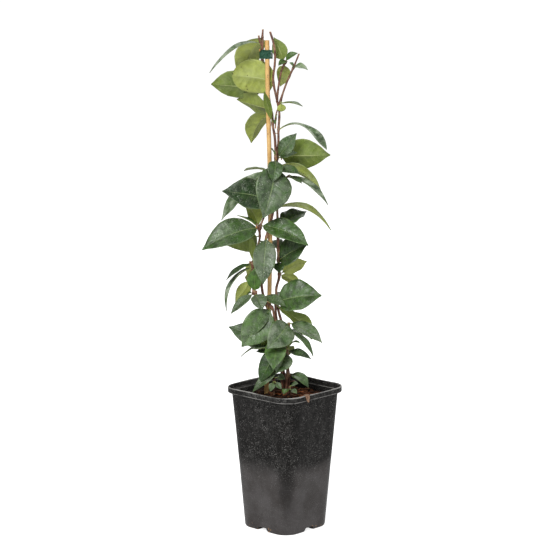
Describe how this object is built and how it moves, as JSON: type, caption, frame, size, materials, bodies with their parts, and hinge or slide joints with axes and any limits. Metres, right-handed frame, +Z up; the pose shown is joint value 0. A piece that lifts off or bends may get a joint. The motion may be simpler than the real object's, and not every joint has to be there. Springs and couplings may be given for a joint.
{
  "type": "potted star jasmine",
  "caption": "Climbing evergreen with pointed leaves and twining stems tied to a bamboo cane, growing in a deep square tapered nursery pot filled with bark compost.",
  "frame": {"origin": "middle of the pot's foot, on the surface the pot stands on", "axes": "+Z up along the cane and the pot's axis; X and Y square to the pot's four sides"},
  "size_m": [0.1697, 0.1597, 0.6747],
  "materials": {
    "pot": "worn black recycled plastic",
    "compost": "damp bark and coir compost",
    "bark": "torn bark",
    "leafy_stem_left": "waxy leaves on a brown woody stem",
    "leafy_stem_right": "waxy leaves on a brown woody stem",
    "leafy_stem_front_left": "waxy leaves on a brown woody stem",
    "leafy_stem_right_low": "waxy leaves on a brown woody stem",
    "leafy_stem_back": "waxy leaves on a brown woody stem",
    "leafy_shoots": "small fresh leaves on a green shoot",
    "cane": "varnish-smooth bamboo",
    "tie": "glossy dark green tape",
    "staple": "thin steel wire"
  },
  "bodies": {
    "root": {"pot": "pot", "compost": "compost", "bark_strip": "bark", "leafy_stem_left": "leafy_stem_left", "leafy_stem_right": "leafy_stem_right", "leafy_stem_front_left": "leafy_stem_front_left", "leafy_stem_right_low": "leafy_stem_right_low", "leafy_stem_back": "leafy_stem_back", "leafy_shoot_left": "leafy_shoots", "leafy_shoot_front": "leafy_shoots", "cane": "cane", "tie": "tie", "staple": "staple"}
  },
  "joints": []
}
